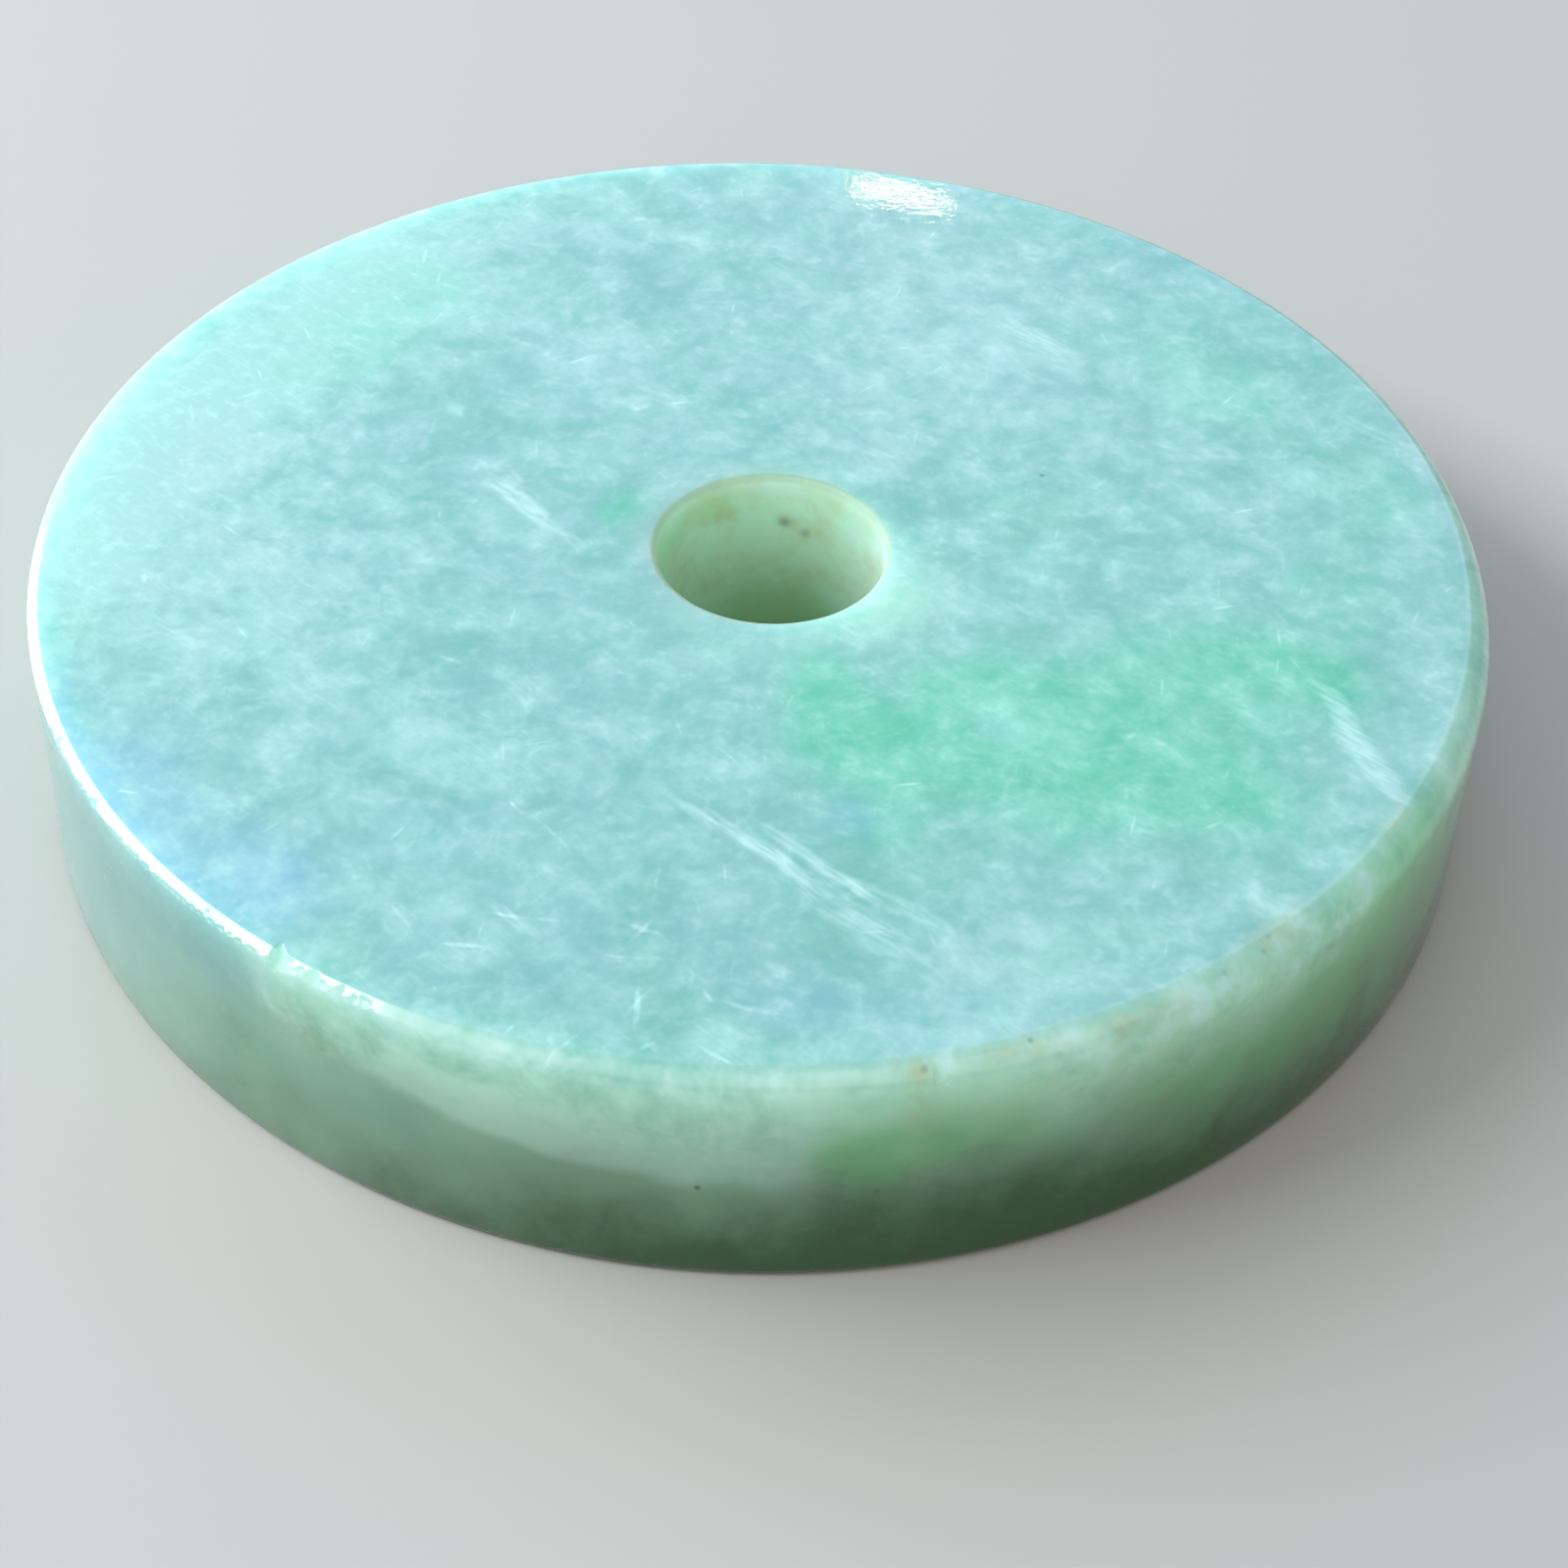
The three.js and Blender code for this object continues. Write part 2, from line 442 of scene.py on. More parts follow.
keep("green_cloud", on_face(GREEN_ON_FACE) + on_the_wall(GREEN_ON_WALL))
keep("lavender_and_cool_light_cloud", on_face(LAVENDER_ON_FACE) + on_the_wall(LAVENDER_AND_COOL_LIGHT_ON_WALL))
keep("pale_rim", on_the_wall(PALE_ON_RIM))
keep("yellowed", on_face(YELLOWED_ON_FACE))
keep("stained", on_face(STAINED_RIM))

# %% [markdown]
# ## Pale and clear
#
# Where the crystals are fine and loose the stone is cloudy and pale, and where they are large and
# close it is clear and looks deeper. Both kinds of patch go into one number: a half is plain stone,
# more is paler and less is clearer. The three pale patches at the far left are partly painted glare
# of the window's light: painted light.

# %% Pale and clear clouds
PALE_AND_GLARE_ON_FACE = [
    # the first three are partly painted glare of the window's light at the far left
    (0.9, -25.5, 1.5, 3.0, 7.0, 0), (0.8, -22.0, 9.0, 4.0, 8.0, -25), (0.7, -16.5, 19.0, 4.0, 5.0, -45),
    (0.35, -12.0, -12.0, 4.0, 1.6, -30), (0.3, 8.0, 13.0, 4.0, 6.0, -30), (0.4, 17.5, 11.0, 1.3, 1.3, 0),
    (0.4, 8.5, -8.8, 1.2, 1.2, 0), (0.3, 10.5, -11.0, 2.0, 1.2, 0), (0.4, 9.5, -22.0, 3.0, 1.5, 20),
    (0.3, -1.0, -25.5, 1.2, 1.5, 0), (0.35, -6.7, 12.8, 1.6, 2.6, 0), (0.35, 21.0, 4.8, 1.6, 1.0, 0),
    (0.3, -9.0, -26.0, 5.0, 1.6, -20), (0.3, 5.0, -26.5, 6.0, 1.6, 10),
    (0.3, -8.0, 22.5, 3.0, 2.0, 0), (0.4, -19.0, -4.0, 4.0, 5.0, 0), (0.3, 5.5, -3.0, 2.5, 2.0, -45),
    (0.3, -15.0, 14.5, 4.0, 3.0, 0), (0.25, -10.5, -21.5, 3.0, 2.0, 0), (0.25, 19.0, 10.8, 3.0, 2.0, 0),
]
CLEAR_ON_FACE = [
    (0.5, -5.5, 1.5, 1.6, 1.6, 0), (0.5, 5.6, 2.5, 1.4, 1.2, 0), (0.3, -4.0, -4.5, 2.4, 1.6, -45),
    (0.35, -11.0, -7.0, 1.8, 1.2, 0), (0.25, -12.0, 7.5, 1.4, 4.5, 0), (0.3, -5.5, 17.0, 1.8, 1.5, 0),
    (0.3, -0.5, 9.0, 1.0, 2.2, 20), (0.2, 21.5, 12.5, 3.0, 5.0, 35), (0.3, 22.0, -7.0, 1.5, 1.5, 0),
    (0.1, -3.0, -20.0, 9.0, 5.0, 0), (0.35, 1.0, -24.0, 3.0, 2.0, 0),
    (0.35, 3.0, -17.5, 1.3, 3.0, 0), (0.2, -10.0, -24.0, 5.0, 1.6, -20),
    (0.3, 16.0, 22.0, 4.0, 2.0, -40),
]
# pale patches, partly painted glare at the far left, against clear ones
keep("cloudiness_and_glare", 0.5 + 0.5 * (on_face(PALE_AND_GLARE_ON_FACE) - on_face(CLEAR_ON_FACE)))

# %% [markdown]
# ## The line round the wall
#
# A line runs round the wall, rising and falling, crisp at the left in front and soft towards the
# right. The wall is pale above it, and below it the colour is darker: painted shade. Each point keeps
# how far above the line it lies, measured against the line's softness, so the material can draw it as
# sharp as it is. Each point also keeps how much painted shade darkens it, most low down and in front.

# %% Measure the height above the line
SHADE_LINE = [  # degrees round from +X, height of the line and its softness in millimetres
    (200, 9.3, 2.0), (225, 8.8, 1.6), (236, 7.8, 1.0), (241, 6.8, 0.7), (248, 6.0, 0.45),
    (256, 5.3, 0.4), (263, 5.1, 0.5), (270, 4.8, 0.9), (279, 4.8, 2.5), (286, 5.6, 4.0),
    (300, 6.0, 4.5), (330, 6.6, 4.5), (360, 6.0, 3.0), (430, 5.0, 2.0), (500, 7.0, 2.0),
    (560, 9.3, 2.0),
]
SHADE_LINE_SPAN = 10  # how many softnesses the kept number covers from 0 to 1
SHADE_DARKEST_AT = 290  # degrees round from +X
SHADE_BELOW, SHADE_SPAN = 8.5, 8.0  # the height the painted shade starts at, and over how many millimetres it darkens fully
SHADE_STRETCH = 3  # the higher, the shorter the stretch of painted shade
SHADE_BEHIND = 0.1  # how much painted shade the far side gets, as a share of the front

line_angle, line_height, line_softness = (np.array(column) for column in zip(*SHADE_LINE))
from_line_start = np.where(degrees < line_angle[0], degrees + 360, degrees)
above = points[:, 2] - np.interp(from_line_start, line_angle, line_height)
softnesses_above = above / np.interp(from_line_start, line_angle, line_softness)
keep("above_shade_line", 0.5 + softnesses_above / SHADE_LINE_SPAN)
in_front = (0.5 + 0.5 * np.cos(np.radians(degrees - SHADE_DARKEST_AT))) ** SHADE_STRETCH
lowness = np.clip((SHADE_BELOW - points[:, 2]) / SHADE_SPAN, 0, 1)
# painted shade: darker low down, most in front
keep("low_front_shade", lowness * (SHADE_BEHIND + (1 - SHADE_BEHIND) * in_front))

# %% [markdown]
# ## Where the stone was only ground
#
# The faces and the wall are polished, but a polishing pad can't reach into the bore, which stays
# matt, and dirt has settled in it. The rounded edge of its mouth is painted darker: painted shade.
# Fresh breaks at the rim are matt too. What belongs to the wall has to be known as well, since the
# wall has a colour of its own.
# Each of these is one number a point, worked out from the row that the point is in.

# %% Mark the bore and the rim
FRESH_BREAK = 0.06 * MM  # a break this deep shows clean stone
MOUTH_SHADE_ROWS = [(0, 0.2), (2, 0.8), (4, 0.8), (5, 0.2)]  # row up the mouth, how much painted shade it gets


def by_row(first, values):
    """One value a row from the first row on, and 0 elsewhere, given to each point of the rows."""
    marks = np.zeros(rows.shape[:2])
    marks[first:first + len(values)] = np.asarray(values)[:, None]
    return marks.reshape(-1)


first_of_wall = len(face)
first_of_bore = len(face) + len(rim) + len(wall) + len(foot) + len(underside)
first_of_mouth = len(rows) - len(upper_mouth)

inside_bore = np.ones(len(lower_mouth) + len(bore))
ground_bore = by_row(first_of_bore, [*inside_bore, *np.linspace(1, 0, len(upper_mouth))])
keep("ground_bore", ground_bore)
# how deep down the bore a point lies, for the painted shade there
keep("bore_depth", ground_bore * (1 - points[:, 2] / UP))
# painted shade on the rounded edge of the mouth
keep("painted_mouth_shade", by_row(first_of_mouth, np.interp(range(len(upper_mouth)), *zip(*MOUTH_SHADE_ROWS))))
over_rim = np.sqrt(np.linspace(0, 1, len(rim)))
keep("stone_wall", by_row(first_of_wall, [*over_rim, *np.ones(len(wall) + len(foot))]))
keep("broken", (bitten / FRESH_BREAK).reshape(-1))

# %% [markdown]
# ## Nodes in plain words
#
# A material is a tree of nodes. These helpers add one node each and join it up, so that the stone's
# recipe below reads as a list of steps.

# %% Helpers for the material
jade = bpy.data.materials.new("polished_jade")
jade.use_nodes = True
tree = jade.node_tree
shader = tree.nodes["Principled BSDF"]


def plug(socket, value):
    """Joins a node's output to a socket, or sets the socket to a plain value."""
    if isinstance(value, bpy.types.NodeSocket):
        tree.links.new(value, socket)
    else:
        socket.default_value = value


def node(kind, inputs, **settings):
    """Adds a node, sets what it is set to and joins its inputs."""
    made = tree.nodes.new(kind)
    for name, value in settings.items():
        setattr(made, name, value)
    for name, value in inputs.items():
        plug(made.inputs[name], value)
    return made


def maths(operation, first, second=0.0, third=0.0):
    """A sum of up to three numbers."""
    inputs = {0: first, 1: second, 2: third}
    return node("ShaderNodeMath", inputs, operation=operation).outputs[0]


def vector_maths(operation, first, second):
    """A sum of two places or directions."""
    return node("ShaderNodeVectorMath", {0: first, 1: second}, operation=operation).outputs[0]


def measured(operation, first, second=(0, 0, 0)):
    """The one number that a length, a distance or a dot product of vectors gives."""
    inputs = {0: first, 1: second}
    return node("ShaderNodeVectorMath", inputs, operation=operation).outputs["Value"]


def smooth(value, start, end):
    """0 below start, 1 above end, and a soft step between."""
    inputs = {"Value": value, "From Min": start, "From Max": end}
    return node("ShaderNodeMapRange", inputs, interpolation_type="SMOOTHSTEP").outputs[0]


def mixed(share, first, second):
    """The first colour where the share is 0 and the second where it is 1."""
    inputs = {0: share, 6: first, 7: second}
    return node("ShaderNodeMix", inputs, data_type="RGBA").outputs[2]


def kept(name):
    """The number that the mesh keeps by this name."""
    return node("ShaderNodeAttribute", {}, attribute_name=name).outputs["Fac"]


def noise(place, size_mm, detail=3.0, roughness=0.55):
    """Soft noise, read at a place, with patches about as large as size_mm."""
    inputs = {"Vector": place, "Scale": 1 / (size_mm * MM), "Detail": detail, "Roughness": roughness}
    return node("ShaderNodeTexNoise", inputs)


# %% [markdown]
# ## The grain of the stone
#
# Jade is a felt of tiny crystals. Seen from near, it is soft mist crossed by faint short fibres.
# Noise at a few sizes makes the mist. The place it is read at is first pushed about by another
# noise, which makes the mist wander and fray like cotton wool. The fibres are noise as well, drawn
# out long one way, and small round flecks lie between them.

# %% Mist and fibres
HALF = (0.5, 0.5, 0.5)
MAIN_TURN = -42  # the way most fibres run, in degrees round from +X

place = node("ShaderNodeTexCoord", {}).outputs["Object"]


def pushed(start, size_mm, reach_mm):
    """The place, pushed about by noise of the given size."""
    push = vector_maths("SUBTRACT", noise(start, size_mm, detail=1).outputs["Color"], HALF)
    return vector_maths("ADD", start, vector_maths("MULTIPLY", push, (reach_mm * MM,) * 3))


def fibres(turn, size_mm, length):
    """Noise drawn out along a direction of the face. length is how many times longer than wide."""
    turned = node("ShaderNodeMapping", {"Vector": swaying, "Rotation": (0, 0, math.radians(-turn))})
    drawn = vector_maths("MULTIPLY", turned.outputs[0], (1 / length, 1, 1))
    return noise(drawn, size_mm, detail=1, roughness=0.5).outputs["Fac"]


wandering = pushed(place, size_mm=3.0, reach_mm=1.3)
half_way = vector_maths("MULTIPLY", vector_maths("SUBTRACT", place, wandering), HALF)
swaying = vector_maths("ADD", wandering, half_way)
clouds = noise(wandering, size_mm=5.0, detail=1).outputs["Fac"]
mist = noise(wandering, size_mm=2.0, detail=3, roughness=0.66).outputs["Fac"]
main_fibres = fibres(MAIN_TURN, size_mm=0.22, length=6.0)
flecks = noise(swaying, size_mm=0.7, detail=2, roughness=0.6).outputs["Fac"]
print("noises: clouds, mist, fibres and flecks")

# %% [markdown]
# ## Blades
#
# Each short bright line is one crystal blade cut through by the surface. A Voronoi texture shares
# the space into cells, and gives each cell a point and random numbers. Turned by those numbers, and
# made long two ways and thin the third, each point becomes a blade of its own.

# %% Blades in cells
NO_BLADE_BELOW = 0.45  # a cell whose random number is lower has no blade


def blades(cell_mm, length, thickness):
    """Thin bright blades, one in each cell. length and thickness are shares of the cell."""
    scaled = vector_maths("MULTIPLY", place, (1 / (cell_mm * MM),) * 3)
    cell = node("ShaderNodeTexVoronoi", {"Vector": scaled, "Scale": 1.0})
    away = vector_maths("SUBTRACT", scaled, cell.outputs["Position"])
    turn = vector_maths("MULTIPLY", cell.outputs["Color"], (2 * math.pi,) * 3)
    own = node("ShaderNodeVectorRotate", {"Vector": away, "Rotation": turn}, rotation_type="EULER_XYZ")
    shape = vector_maths("MULTIPLY", own.outputs[0], (1 / length, 1 / length, 1 / thickness))
    far = measured("LENGTH", shape)
    own_chance = node("ShaderNodeSeparateColor", {"Color": cell.outputs["Color"]}).outputs[1]
    return maths("MULTIPLY", smooth(far, 1.0, 0.2), smooth(own_chance, NO_BLADE_BELOW, 1.0))


crystal_blades = blades(cell_mm=1.5, length=0.5, thickness=0.06)

# %% [markdown]
# ## White streaks and dark specks
#
# Here and there the felted crystals lie side by side and show as a bright feathery streak. Most of
# them run the same way, because the stone was squeezed that way when it grew. A few dark specks of
# another mineral lie in the stone too, and dirt sits in small pits of the rim. Each one is a long or
# round blob at a place of its own: the place is turned and scaled so that the blob becomes a ball of
# radius 1, and the distance from its middle tells how strongly it shows.

# %% Streaks and specks at their places
FEATHERS = [  # strength, from x, from y, to x, to y, width in millimetres
    (1.0, -10.9, 3.6, -8.8, 1.4, 0.5), (0.7, -9.2, 1.6, -7.2, -0.5, 0.4),
    (0.6, -10.4, 3.6, -9.6, 3.4, 0.5), (0.8, 20.6, -7.0, 21.8, -10.0, 0.5),
    (1.0, 21.2, -9.6, 23.0, -13.4, 0.6), (0.4, 22.8, 10.1, 26.7, 6.9, 0.4),
    (0.6, -3.2, -14.4, -1.4, -16.0, 0.25), (1.0, -1.4, -15.6, 1.4, -18.2, 0.4),
    (0.8, 0.6, -16.2, 3.8, -19.2, 0.3), (0.6, 1.4, -18.2, 5.6, -22.6, 0.7),
    (0.5, 3.6, -18.8, 6.2, -20.6, 0.4), (0.5, 17.0, -18.4, 18.9, -20.4, 0.6),
    (0.7, 9.7, 15.5, 12.3, 13.5, 0.8), (0.7, -9.0, -20.2, -7.4, -21.3, 0.25),
]
NEEDLES = [  # the same
    (0.7, -10.3, -22.1, -9.2, -22.1, 0.09), (0.6, -8.9, -20.6, -6.7, -20.9, 0.09),
    (0.8, -6.5, -26.9, -5.7, -26.2, 0.10), (0.8, -1.5, -26.5, -0.5, -27.2, 0.09),
    (0.6, -3.8, -24.1, -3.7, -25.7, 0.12), (0.6, -4.0, -27.0, -3.0, -26.3, 0.09),
    (0.5, -3.2, -18.0, -3.2, -19.0, 0.08), (0.5, -4.2, -21.0, -3.2, -21.4, 0.12),
    (0.4, -0.8, -24.3, 1.0, -24.9, 0.12), (0.4, -7.6, -16.0, -6.5, -17.2, 0.09),
    (0.5, -12.2, -20.5, -11.6, -21.5, 0.10), (0.4, -3.5, -20.8, -4.1, -21.7, 0.09),
    (0.4, -3.5, -24.0, -4.2, -25.2, 0.08), (0.5, -4.6, -22.5, -2.8, -22.6, 0.09),
]
SPECKS = [  # strength, x, y, height and radius in millimetres
    (0.6, 11.0, 4.9, 9.9, 0.14), (0.35, 5.7, -27.0, 9.7, 0.18), (0.3, 6.2, -27.2, 9.5, 0.14),
    (0.35, 9.2, -25.7, 9.8, 0.14), (0.3, 15.9, -22.3, 9.8, 0.18), (0.25, 17.5, -20.6, 9.8, 0.17),
    (0.25, 18.2, -19.7, 9.8, 0.17), (0.2, 17.3, -21.2, 9.7, 0.14), (0.9, -1.6, -27.9, 4.6, 0.16),
    (0.5, 4.4, -27.6, 4.3, 0.16), (0.45, 0.8, 4.2, 7.7, 0.36), (0.3, 1.65, 4.05, 7.3, 0.32),
]
STREAK_LENGTH, STREAK_WIDTH = 0.8, 1.3  # reach of a streak's soft edge, for its length and width
SPECK_REACH = 1.2  # reach of a speck's soft edge, for its radius


def streak(start_x, start_y, end_x, end_y, width):
    """1 on the middle of a line of the face, 0 beyond its ends and sides. Millimetres."""
    start, end = Vector((start_x, start_y, 0)), Vector((end_x, end_y, 0))
    ahead = (end - start).normalized() / (STREAK_LENGTH * (end - start).length * MM)
    across = Vector((start_y - end_y, end_x - start_x, 0)).normalized() / (STREAK_WIDTH * width * MM)
    away = vector_maths("SUBTRACT", swaying, (start + end) / 2 * MM)
    along = measured("DOT_PRODUCT", away, ahead)
    aside = measured("DOT_PRODUCT", away, across)
    far = maths("MULTIPLY_ADD", along, along, maths("MULTIPLY", aside, aside))
    return smooth(far, 1.0, 0.0)


def speck(x, y, z, radius):
    """1 at a place and 0 from a radius away. Millimetres."""
    far = measured("DISTANCE", place, Vector((x, y, z)) * MM)
    return smooth(far, SPECK_REACH * radius * MM, 0.0)


def summed(blobs):
    """Blobs added up, each times its strength."""
    total = 0.0
    for strength, shape in blobs:
        total = maths("MULTIPLY_ADD", shape, strength, total)
    return total


white_feathers = summed((strength, streak(*line)) for strength, *line in FEATHERS)
white_needles = summed((strength, streak(*line)) for strength, *line in NEEDLES)
dark_specks = summed((strength, speck(*spot)) for strength, *spot in SPECKS)
print("feathers: %d, needles: %d, specks: %d" % (len(FEATHERS), len(NEEDLES), len(SPECKS)))

# %% [markdown]
# ## Mixing the colour
#
# The clear ground of the stone is a soft green that clouds turn bluish, and green and lavender
# patches tint it. Mist, fibres, flecks and blades whiten it. Each adds a share of white, and the
# shares are added up before the white is mixed in, so that they can't tint each other. A feather is
# drawn with the fibres in it, and only where the stone isn't white already.

# %% The stone's colours
MOSS_GROUND = (0.15, 0.43, 0.345, 1)
MIST_GROUND = (0.17, 0.42, 0.375, 1)
GREEN = (0.06, 0.46, 0.26, 1)
LAVENDER = (0.20, 0.44, 0.58, 1)
YELLOWED = (0.50, 0.76, 0.56, 1)
WHITE = (0.48, 0.73, 0.67, 1)
GREEN_WHITE = (0.36, 0.74, 0.58, 1)
MIST_SHARE, FELT_SHARE, FLECK_SHARE = 0.65, 0.12, 0.25  # how white each can make the stone
BLADE_SHARE, NEEDLE_SHARE = 0.5, 0.75
WISP_FLECKS, WISP_PLAIN, WISP_MIDDLE = 1.2, 0.2, 0.3  # how a feather's white is made up
GREEN_FRAYS, LAVENDER_FRAYS = 1.2, 0.6  # how far clouds push a patch's edge about


def added(total, share, value):
    """The total with a share of the value added."""
    return maths("MULTIPLY_ADD", value, share, total)


sway = maths("SUBTRACT", clouds, 0.5)
greenness = smooth(added(kept("green_cloud"), GREEN_FRAYS, sway), 0.05, 1.0)
lavender_and_cool_light = smooth(added(kept("lavender_and_cool_light_cloud"), LAVENDER_FRAYS, sway), 0.05, 1.0)
colour = mixed(smooth(clouds, 0.4, 0.6), MOSS_GROUND, MIST_GROUND)
colour = mixed(greenness, colour, GREEN)
colour = mixed(lavender_and_cool_light, colour, LAVENDER)

# the pale patches carry painted glare at the far left
cloudy_and_glare = maths("ADD", mist, maths("SUBTRACT", kept("cloudiness_and_glare"), 0.5))
felted = maths("MULTIPLY", smooth(main_fibres, 0.5, 0.8), smooth(cloudy_and_glare, 0.35, 0.6))
bladed = maths("MULTIPLY", crystal_blades, smooth(mist, 0.4, 0.6))
white = maths("MULTIPLY", smooth(cloudy_and_glare, 0.2, 0.9), MIST_SHARE)
white = added(white, FELT_SHARE, felted)
white = added(white, FLECK_SHARE, smooth(flecks, 0.45, 0.8))
white = added(white, BLADE_SHARE, bladed)

wisps = maths("MULTIPLY", smooth(main_fibres, 0.25, 0.75), added(WISP_PLAIN, WISP_FLECKS, flecks))
wisps = maths("MULTIPLY", white_feathers, added(wisps, WISP_MIDDLE, white_feathers))
white = added(white, wisps, maths("SUBTRACT", 1.0, white))
white = added(white, maths("MULTIPLY", smooth(flecks, 0.25, 0.7), NEEDLE_SHARE), white_needles)
white = maths("MINIMUM", white, 1.0)
colour = mixed(white, colour, mixed(greenness, WHITE, GREEN_WHITE))
colour = mixed(kept("yellowed"), colour, YELLOWED)

# %% [markdown]
# ## The wall and the bore
#
# The wall is seen across the grain, so it has mist but no feathers. It is a pale yellowish green above
# the line and yellower close to it. Below the line it is painted darker, and darkest low down in front:
# painted shade. The green and lavender patches go on over its edge; at the left the lavender is also
# painted cool light from the window. The bore is only ground, not polished, and old dirt has turned it
# yellowish, with brownish patches. It is painted paler than the stone, a painted glow of the light that
# comes through it, and darker deep down and round its mouth: painted shade. Breaks show clean stone.
# Each tint is laid over the last.

# %% Colour the wall and the bore
PALE_WALL = (0.56, 0.82, 0.72, 1)
NEAR_LINE_WALL = (0.44, 0.66, 0.40, 1)
# below the line the wall is painted darker: painted shade
SHADED_WALL_BELOW_LINE = (0.20, 0.38, 0.22, 1)
# painted shade low down on the wall, darkest in front
SHADED_LOW_WALL = (0.008, 0.090, 0.014, 1)
GREEN_WALL = (0.16, 0.56, 0.22, 1)
# partly lavender, partly painted cool window light on the left of the wall
LAVENDER_AND_COOL_LIGHT_WALL = (0.155, 0.385, 0.41, 1)
PALE_RIM = (0.56, 0.81, 0.78, 1)
# the bore is painted paler than the stone: a painted glow of the light through it, over its own
# yellowish tint
BORE_PALE_GLOW = (0.70, 0.88, 0.77, 1)
BORE_GREEN_GLOW = (0.54, 0.78, 0.55, 1)
BORE_BROWN = (0.60, 0.64, 0.40, 1)
# painted shade deep down in the bore
BORE_SHADE = (0.22, 0.54, 0.19, 1)
# painted shade round the mouth of the hole
MOUTH_SHADE_COLOUR = (0.30, 0.44, 0.27, 1)
STAIN = (0.42, 0.52, 0.36, 1)
BROKEN = (0.45, 0.72, 0.62, 1)
SPECK = (0.03, 0.05, 0.04, 1)
PALE_SHARE, PALE_GRAIN = 0.62, 1.3  # how pale the wall is, and how much the mist changes that
BELOW_SHARE, BELOW_GRAIN = 0.65, -0.6  # the same for the painted shade below the line
NEAR_LINE_SHARE, LINE_FRAYS = 0.22, 2.0  # the yellow near the line, and how far the mist frays the line
GREEN_SHARE, LAVENDER_SHARE = 0.7, 0.75
RIM_GRAIN, SHADE_GRAIN = 2.0, 0.45  # how much the mist changes the pale rim and the painted shade low down
BORE_SHARE, MOUTH_SHADE_SHARE, BROKEN_SHARE = 0.85, 0.75, 0.5


def over(under, tint, *shares):
    """A tint laid over a colour, as strongly as the shares multiplied say."""
    strength = shares[0]
    for share in shares[1:]:
        strength = maths("MULTIPLY", strength, share)
    return mixed(strength, under, tint)


grain = maths("SUBTRACT", mist, 0.5)
on_wall = kept("stone_wall")
shade_line_place = maths("MULTIPLY", maths("SUBTRACT", kept("above_shade_line"), 0.5), SHADE_LINE_SPAN)
shade_line_place = added(shade_line_place, LINE_FRAYS, grain)
pale_share = added(maths("ADD", sway, PALE_SHARE), PALE_GRAIN, grain)
rim_paleness = smooth(added(kept("pale_rim"), RIM_GRAIN, grain), 0.2, 1.0)
low_shade = added(kept("low_front_shade"), SHADE_GRAIN, maths("ADD", sway, grain))

colour = over(colour, PALE_WALL, on_wall, maths("MAXIMUM", pale_share, 0.0))
colour = over(colour, NEAR_LINE_WALL, on_wall, smooth(shade_line_place, 6.0, 0.0), NEAR_LINE_SHARE)
below_share = added(BELOW_SHARE, BELOW_GRAIN, grain)
# painted shade below the line
colour = over(colour, SHADED_WALL_BELOW_LINE, on_wall, smooth(shade_line_place, 0.6, -1.0), below_share)
colour = over(colour, GREEN_WALL, on_wall, greenness, GREEN_SHARE)
# lavender, and painted cool light on the left of the wall
colour = over(colour, LAVENDER_AND_COOL_LIGHT_WALL, on_wall, lavender_and_cool_light, LAVENDER_SHARE)
colour = over(colour, PALE_RIM, rim_paleness)
# painted shade, darkest low down in front
colour = over(colour, SHADED_LOW_WALL, on_wall, smooth(low_shade, 0.0, 0.9))

# painted glow in the bore, with painted shade deep down
bore_colour_and_glow = mixed(smooth(clouds, 0.42, 0.62), BORE_PALE_GLOW, BORE_GREEN_GLOW)
bore_colour_and_glow = over(bore_colour_and_glow, BORE_BROWN, smooth(mist, 0.38, 0.78))
bore_colour_and_glow = over(bore_colour_and_glow, BORE_SHADE, smooth(kept("bore_depth"), 0.1, 1.3))
colour = over(colour, bore_colour_and_glow, kept("ground_bore"), BORE_SHARE)
# painted shade round the mouth
colour = over(colour, MOUTH_SHADE_COLOUR, kept("painted_mouth_shade"), MOUTH_SHADE_SHARE)
colour = over(colour, STAIN, kept("stained"), smooth(flecks, 0.3, 0.6))
colour = over(colour, BROKEN, kept("broken"), BROKEN_SHARE)
colour = over(colour, SPECK, dark_specks)
plug(shader.inputs["Base Color"], colour)

# %% [markdown]
# ## Light in the stone and on it
#
# Light that enters jade comes out again a few millimetres away, which is what makes it glow. That
# is subsurface scattering, and green travels furthest. The polish is a smooth clear coat over a
# slightly rougher stone. No polish is perfectly flat: a bump far too shallow to see frays the edges
# of what the coat mirrors. The ground bore and the breaks have no full polish.

# %% Scatter and polish
SCATTER_REACH = 5 * MM
SCATTER_COLOURS = (0.7, 1.0, 0.8)  # how far red, green and blue go, as shares of the reach
JADE_BENDS_LIGHT = 1.6  # index of refraction
COAT_ROUGHNESS = 0.015
STONE_ROUGHNESS, MATT_ROUGHNESS = 0.2, 0.6
COAT_WEIGHT = 0.5
POLISH_BUMP = 0.0016 * MM

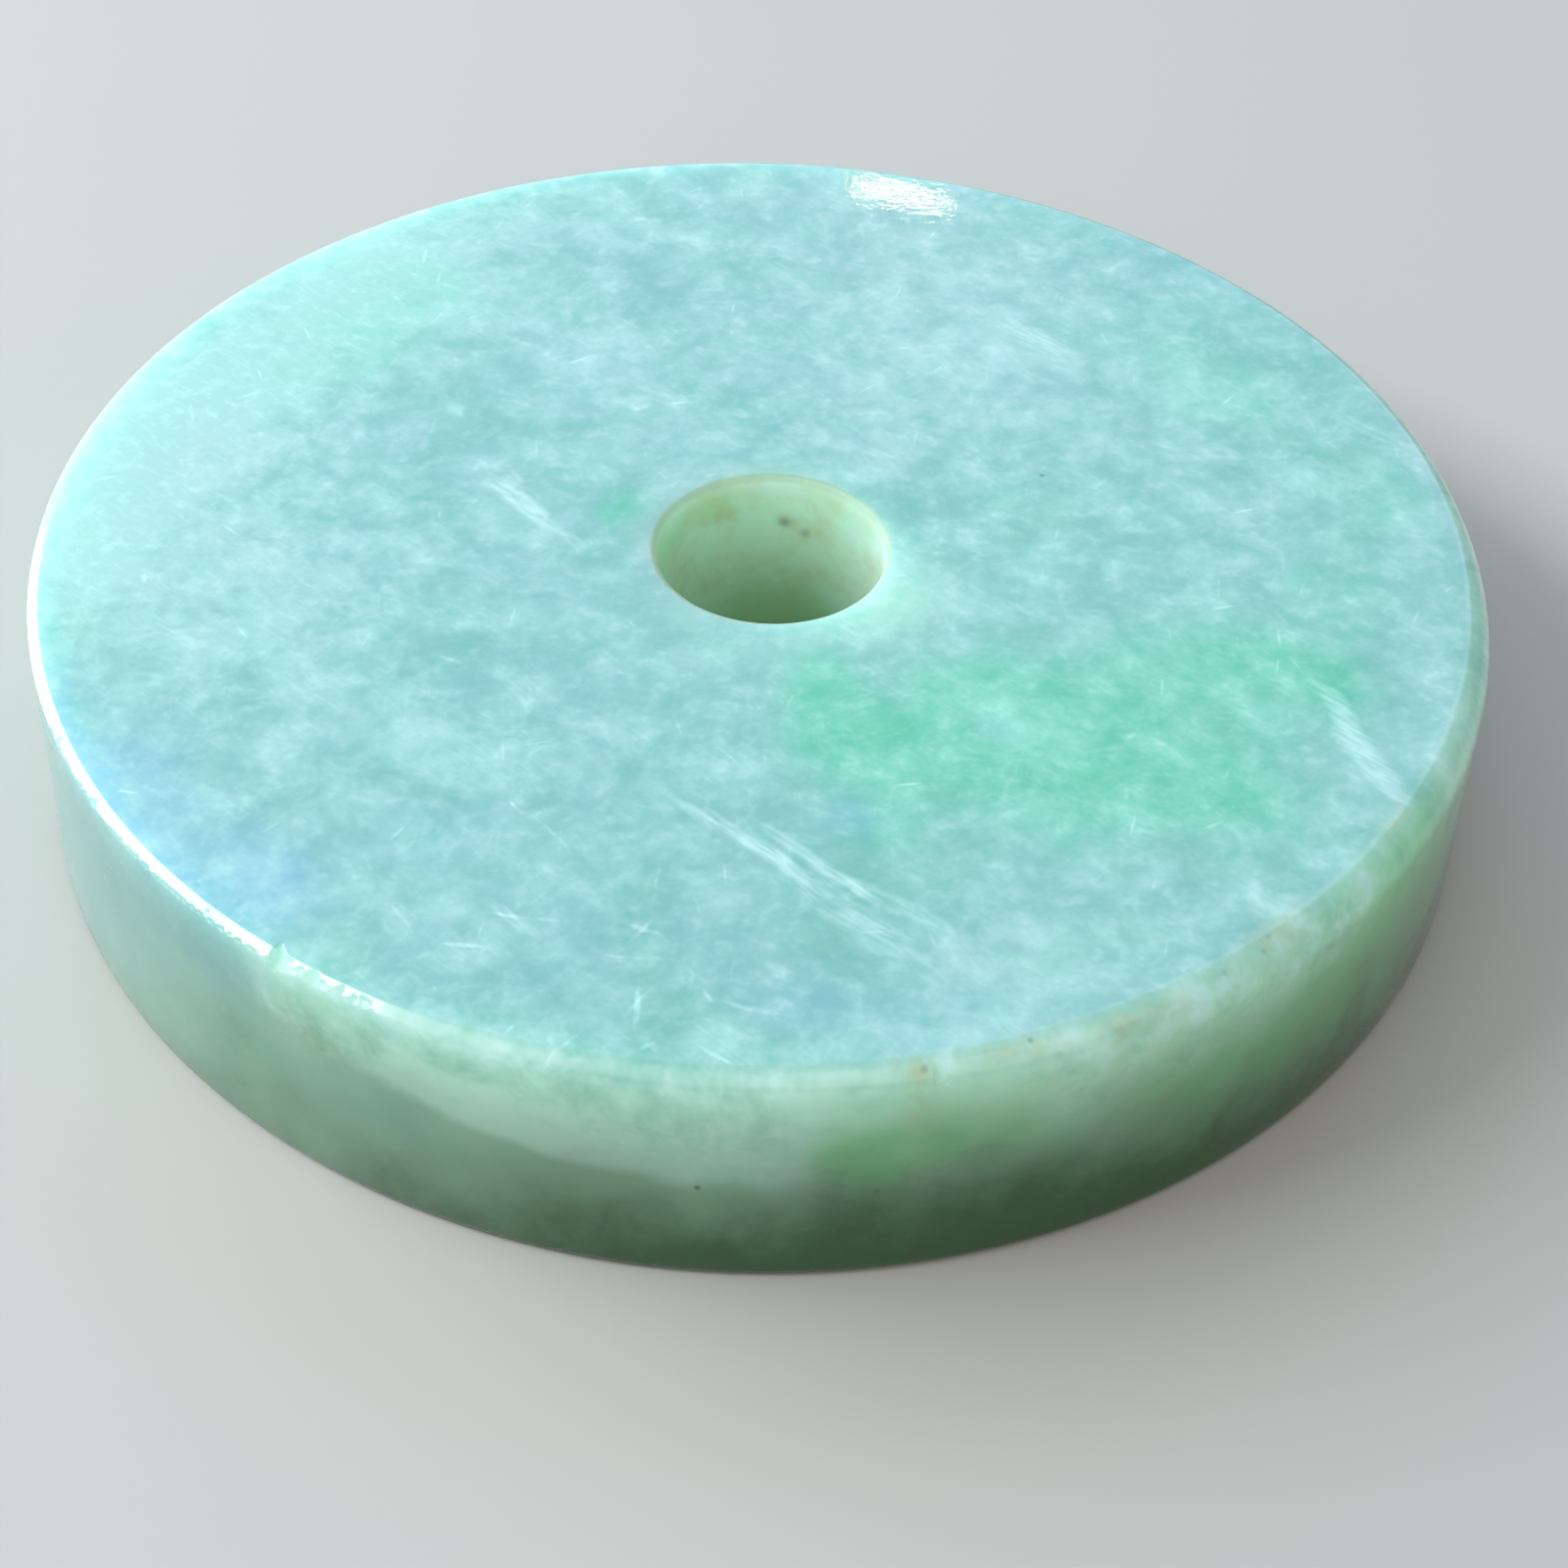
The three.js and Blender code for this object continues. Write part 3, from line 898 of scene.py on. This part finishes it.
shader.subsurface_method = "RANDOM_WALK"
plug(shader.inputs["Subsurface Weight"], 1.0)
plug(shader.inputs["Subsurface Radius"], SCATTER_COLOURS)
plug(shader.inputs["Subsurface Scale"], SCATTER_REACH)
plug(shader.inputs["IOR"], JADE_BENDS_LIGHT)
plug(shader.inputs["Coat Roughness"], COAT_ROUGHNESS)
matt = maths("MAXIMUM", smooth(kept("ground_bore"), 0.0, 0.5), kept("broken"))
plug(shader.inputs["Roughness"], added(STONE_ROUGHNESS, MATT_ROUGHNESS - STONE_ROUGHNESS, matt))
plug(shader.inputs["Coat Weight"], added(COAT_WEIGHT, -COAT_WEIGHT, matt))
unevenness = noise(place, size_mm=0.45, detail=2, roughness=0.7).outputs["Fac"]
bump = node("ShaderNodeBump", {"Height": unevenness, "Strength": 1.0, "Distance": POLISH_BUMP})
plug(shader.inputs["Coat Normal"], bump.outputs[0])
disc.data.materials.append(jade)
print("nodes in the stone's recipe: %d" % len(tree.nodes))

# %% [markdown]
# ## The floor
#
# The disc lies on a plain pale table top, large enough that its edge never shows. Only the stone is
# the lesson, so the floor is one square with one colour.

# %% Floor
FLOOR_REACH = 2.0  # metres each way
FLOOR_COLOUR = (0.52, 0.5, 0.47, 1)
FLOOR_ROUGHNESS = 0.8

floor_corners = [(x * FLOOR_REACH, y * FLOOR_REACH, 0) for x, y in ((-1, -1), (1, -1), (1, 1), (-1, 1))]
floor_mesh = bpy.data.meshes.new("floor")
floor_mesh.from_pydata(floor_corners, [], [(0, 1, 2, 3)])
floor = bpy.data.objects.new("floor", floor_mesh)
bpy.context.collection.objects.link(floor)
pale = bpy.data.materials.new("pale_floor")
pale.use_nodes = True
pale_shader = pale.node_tree.nodes["Principled BSDF"]
pale_shader.inputs["Base Color"].default_value = FLOOR_COLOUR
pale_shader.inputs["Roughness"].default_value = FLOOR_ROUGHNESS
floor.data.materials.append(pale)
print("floor: %.0f m square" % (2 * FLOOR_REACH))

# %% [markdown]
# ## The light
#
# A long window at the left lights the stone from the side and draws the bright line along the bevel.
# A bluish sky behind and a warm room in front fill in softly from above. A small lamp behind is
# mirrored by the polish as the one bright spot near the far rim. Each light is an area light that
# stands off from the middle of the disc and faces it. Roll turns it about the way it faces.

# %% Lights
WINDOW_COLOUR = (0.82, 0.95, 1.0)
SKY_COLOUR = (0.5, 0.65, 1.0)
ROOM_COLOUR = (1.0, 0.97, 0.85)
LAMP_COLOUR = (1.0, 0.75, 0.55)
WORLD_COLOUR = (0.9, 0.95, 1, 1)
WORLD_STRENGTH = 0.3


def area_light(name, azimuth, elevation, distance, size, watts, colour, roll=0, shape="RECTANGLE"):
    """A light that faces the disc. Angles in degrees, distance and size in metres."""
    light = bpy.data.lights.new(name, "AREA")
    light.shape = shape
    light.size, light.size_y = size
    light.energy = watts
    light.color = colour
    holder = bpy.data.objects.new(name, light)
    bpy.context.collection.objects.link(holder)
    around_z, up = math.radians(azimuth), math.radians(elevation)
    way = Vector((math.cos(up) * math.cos(around_z), math.cos(up) * math.sin(around_z), math.sin(up)))
    holder.location = way * distance
    facing = way.to_track_quat("Z", "Y").to_matrix() @ Matrix.Rotation(math.radians(roll), 3, "Z")
    holder.rotation_euler = facing.to_euler()
    print("%s: %.3f W from %.1f degrees round and %.1f up" % (name, watts, azimuth, elevation))


area_light("window", azimuth=163, elevation=31, distance=0.5, size=(0.74, 0.17), watts=4.2,
           colour=WINDOW_COLOUR, roll=38)
area_light("sky", azimuth=92, elevation=40, distance=1.0, size=(1.1, 0.7), watts=4.0,
           colour=SKY_COLOUR)
area_light("room", azimuth=270, elevation=50, distance=1.0, size=(1.8, 1.2), watts=5.5,
           colour=ROOM_COLOUR)
area_light("lamp", azimuth=86.86, elevation=31.5, distance=0.627, size=(0.025, 0.003), watts=0.006,
           colour=LAMP_COLOUR, roll=-8, shape="ELLIPSE")
world = bpy.data.worlds.new("world")
world.use_nodes = True
background = world.node_tree.nodes["Background"]
background.inputs["Color"].default_value = WORLD_COLOUR
background.inputs["Strength"].default_value = WORLD_STRENGTH
bpy.context.scene.world = world
bpy.context.scene.view_settings.view_transform = "Standard"
